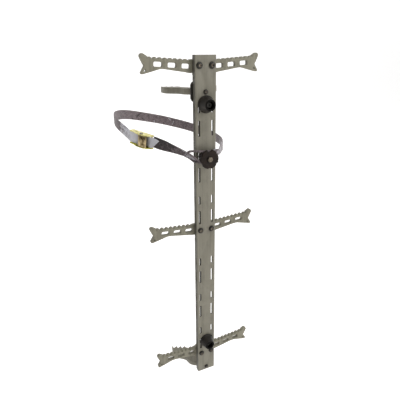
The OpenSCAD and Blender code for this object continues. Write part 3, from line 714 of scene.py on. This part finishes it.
def makeBuckleFrame():
    # Two pressed side plates, slotted and pierced for the rods and the pin, and the web that joins them
    size = buckleSize
    half, far, near = size["length"] / 2, size["far"], size["near"]
    side = arc(4 - half, far + 4, 4, 180, 270, 6) + arc(half - 4, far + 4, 4, 270, 360, 6)
    side += arc(half - 3, 6.5, 3, 0, 80, 5) + [(22, 10.4), (16, 12), (11, 14.5)]
    side += arc(3, near - 3, 3, 70, 90, 3) + arc(size["camU"] - 12, near - 3, 3, 90, 130, 4)
    side += [(size["camU"] - 19, near - 4), (size["camU"] - 24, 8.5), (-half, 5)]
    holes = [arc(size["camU"], size["camV"], size["pin"], 0, 342, 19), slotOutline(15, 5.5, 9.5, 3.4, 0, 1.2)]
    holes += [arc(u, size["rodV"], size["rodRadius"] + 0.06, 0, 340, 17) for u in size["rods"].values()]
    parts = []
    for s in (1, -1):
        plate = cutPlate(f"buckleSide{s}", [side] + holes, size["plate"], size["edge"])
        plate.data.transform(Matrix.Translation((0, 0, s * (size["gap"] + size["plate"]) / 2 * mm)))
        parts.append(plate)
    web = cutPlate("buckleWeb", [[(-18, -14.6), (14, -14.6), (14, -9), (10, -6), (10, 6), (14, 9), (14, 14.6),
                                  (-18, 14.6), (-18, 9), (-14, 6), (-14, -6), (-18, -9)]], 1.8, 0.4)
    web.data.transform(Matrix.Translation((0, (far - 0.3) * mm, 0)) @ Matrix.Rotation(math.pi / 2, 4, "X"))
    piece = joinAll(parts + [web])
    piece.name = "buckleFrame"
    piece.data.transform(inBuckle)
    smooth(35)
    finish(piece, yellowZinc, "frame", "yellow_zinc", "buckle_frame")
    piece.data.materials.append(yellowPaintedShade)
    back = inBuckle.inverted()
    # Painted shade: faces on the lower half of the buckle, the lower side plate, take the darker yellow
    for face in piece.data.polygons:
        if (back @ face.center).z < 0:
            face.material_index = 1


def makeBuckleCam():
    # A serrated barrel with a thumb lever pressed from the same plate
    size = buckleSize
    u, v, r, wide = size["camU"], size["camV"], size["camRadius"], size["gap"] - 1.4
    barrel = []
    for k in range(size["teeth"]):
        a = 150 + 200 * k / size["teeth"]
        barrel += arc(u, v, r, a, a + 14, 2) + arc(u, v, r - 1.3, a + 16, a + 20, 1)
    barrel += arc(u, v, r, 350, 440, 12)
    lever = [(u + 1, v + 6.6), (u - 4, v + 6.8), (u - 18, v + 6.8), (u - 20, v + 6.2), (u - 20.4, v + 5.2),
             (u - 19, v + 4.6), (u - 8, v + 4.2)]
    piece = cutPlate("buckleCam", [barrel + lever, arc(u, v, size["pin"], 0, 342, 19)], wide, 0.4)
    piece.data.transform(inBuckle)
    pick(piece)
    smooth(30)
    finish(piece, yellowDeep, "cam", "yellow_zinc", "buckle_cam")


def makeBuckleRods():
    size = buckleSize
    half, r = (size["gap"] + 2 * size["plate"] + 1) / 2, size["rodRadius"]
    for name, u in size["rods"].items():
        profile = [(0, half), (r - 0.5, half), (r, half - 0.5), (r, 0.5 - half), (r - 0.5, -half), (0, -half)]
        rod = lathe("buckle" + name.capitalize(), profile, 32, (0, 0, 0))
        rod.data.transform(inBuckle @ Matrix.Translation((u * mm, size["rodV"] * mm, 0))
                           @ Matrix.Rotation(math.pi / 2, 4, "X"))
        finish(rod, yellowZinc, "frame", "yellow_zinc", "buckle_" + name)


makeBuckleFrame()
makeBuckleCam()
makeBuckleRods()
print("buckle is made")

beamSize = {"halfInside": 22.4, "front": 0.6, "back": 12.7, "edge": 0.35}


def makeBeam():
    # The extrusion with its sharp edges broken; the open channels behind the slots get a dark, dull coat as
    # painted shade, and the side faces a darker coat as painted shade
    size = beamSize
    beam = nodes["beam"].copy()
    beam.data = nodes["beam"].data.copy()
    beam.name = "beamExtrusion"
    bpy.context.collection.objects.link(beam)
    pick(beam)
    bpy.ops.object.mode_set(mode="EDIT")
    bpy.ops.mesh.select_all(action="SELECT")
    bpy.ops.mesh.remove_doubles(threshold=weld / 2)
    bpy.ops.mesh.dissolve_limited(angle_limit=math.radians(1))
    bpy.ops.object.mode_set(mode="OBJECT")
    apply(beam, "BEVEL", width=size["edge"] * mm, segments=2, limit_method="ANGLE",
          angle_limit=math.radians(40))
    smooth(35)
    finish(beam, olive, "frame", "olive_paint", "beam")
    beam.data.materials.append(paintedShadeHollow)
    beam.data.materials.append(paintedShadeSideCoat)
    for face in beam.data.polygons:
        x, y = abs(face.center.x) / mm, face.center.y / mm
        # Painted shade: faces inside the open channels take the dark coat
        if x < size["halfInside"] and size["front"] < y < size["back"]:
            face.material_index = 1
        # Painted shade: faces turned sideways take the darker side coat
        elif abs(face.normal.x) > 0.9:
            face.material_index = 2


makeBeam()

headSize = {
    "step_bolts": {"radius": 7, "height": 4.4, "shank": 4, "length": 32.1,
                   "x": (-14, 14), "z": (190, -174.5, -539)},
    "bracket_screws": {"radius": 5.25, "height": 3.4, "shank": 3, "length": 49.7,
                       "x": (0,), "z": (138.5, -590.5)},
}


def makeHeads(name, size):
    # Button heads: a domed head, a socket lined with bright bare steel as a painted glint, and the shank in
    # one piece
    r, h, shank, long = size["radius"], size["height"], size["shank"], size["length"]
    places = [(x, z) for x in size["x"] for z in size["z"]]
    dome = [(0, h), (0.45 * r, h), (0.62 * r, 0.96 * h), (0.8 * r, 0.78 * h), (0.94 * r, 0.46 * h),
            (r, 0.2 * h), (r, 0.05), (0.97 * r, 0), (shank, 0), (shank, 0.8 - long), (shank - 0.8, -long),
            (0, -long)]
    screw = lathe(name + "Screw", dome, 40, (0, 0, 0))
    deselect()
    bpy.ops.mesh.primitive_cylinder_add(vertices=6, radius=0.42 * r * mm, depth=h * mm,
                                        location=(0, -0.9 * h * mm, 0), rotation=(math.pi / 2, 0, 0))
    key = bpy.context.active_object
    settle(key)
    apply(screw, "BOOLEAN", operation="DIFFERENCE", object=key, solver="EXACT")
    bpy.data.objects.remove(key)
    apply(screw, "BEVEL", width=0.15 * mm, segments=2, limit_method="ANGLE", angle_limit=math.radians(50))
    copies = []
    for x, z in places:
        piece = screw.copy()
        piece.data = screw.data.copy()
        piece.data.transform(Matrix.Translation((x * mm, 0, z * mm)))
        bpy.context.collection.objects.link(piece)
        copies.append(piece)
    bpy.data.objects.remove(screw)
    joined = joinAll(copies)
    first, second = name.split("_")
    joined.name = first + second.capitalize()
    smooth(35)
    finish(joined, blackened, "frame", "black_steel", name)
    joined.data.materials.append(wornSteelAndGlint)
    # Painted glint: faces in the socket take the bright bare steel
    for face in joined.data.polygons:
        near = min((Vector((x, 0, z)) - Vector((face.center.x, 0, face.center.z)) / mm).length
                   for x, z in places)
        if near < 0.47 * r and face.center.y < -0.3 * h * mm:
            face.material_index = 1


for name, size in headSize.items():
    makeHeads(name, size)
print("beam and screws are made")

# ---- finishes of the pieces that come straight from the frame

finishes = {
    "post_screws": blackened,
    "step_shims": nylon, "swivel_pad": nylon, "swivel_spacer": nylon, "button_neck": nylon,
    "step_sleeves": brightSteel, "step_washers": brightSteel, "step_nuts": brightSteel,
    "step_stops": brightSteel, "bracket_nuts": brightSteel, "post_nuts": brightSteel,
    "button_bolt": wornSteelAndGlint, "button_nut": brightSteel,
    "buckle_cam_pin": brightSteel, "buckle_spring": brightSteel,
}
for name, material in finishes.items():
    slots = nodes[name].material_slots
    if slots:
        for slot in slots:
            slot.material = material
    else:
        nodes[name].data.materials.append(material)
print("finishes are on")
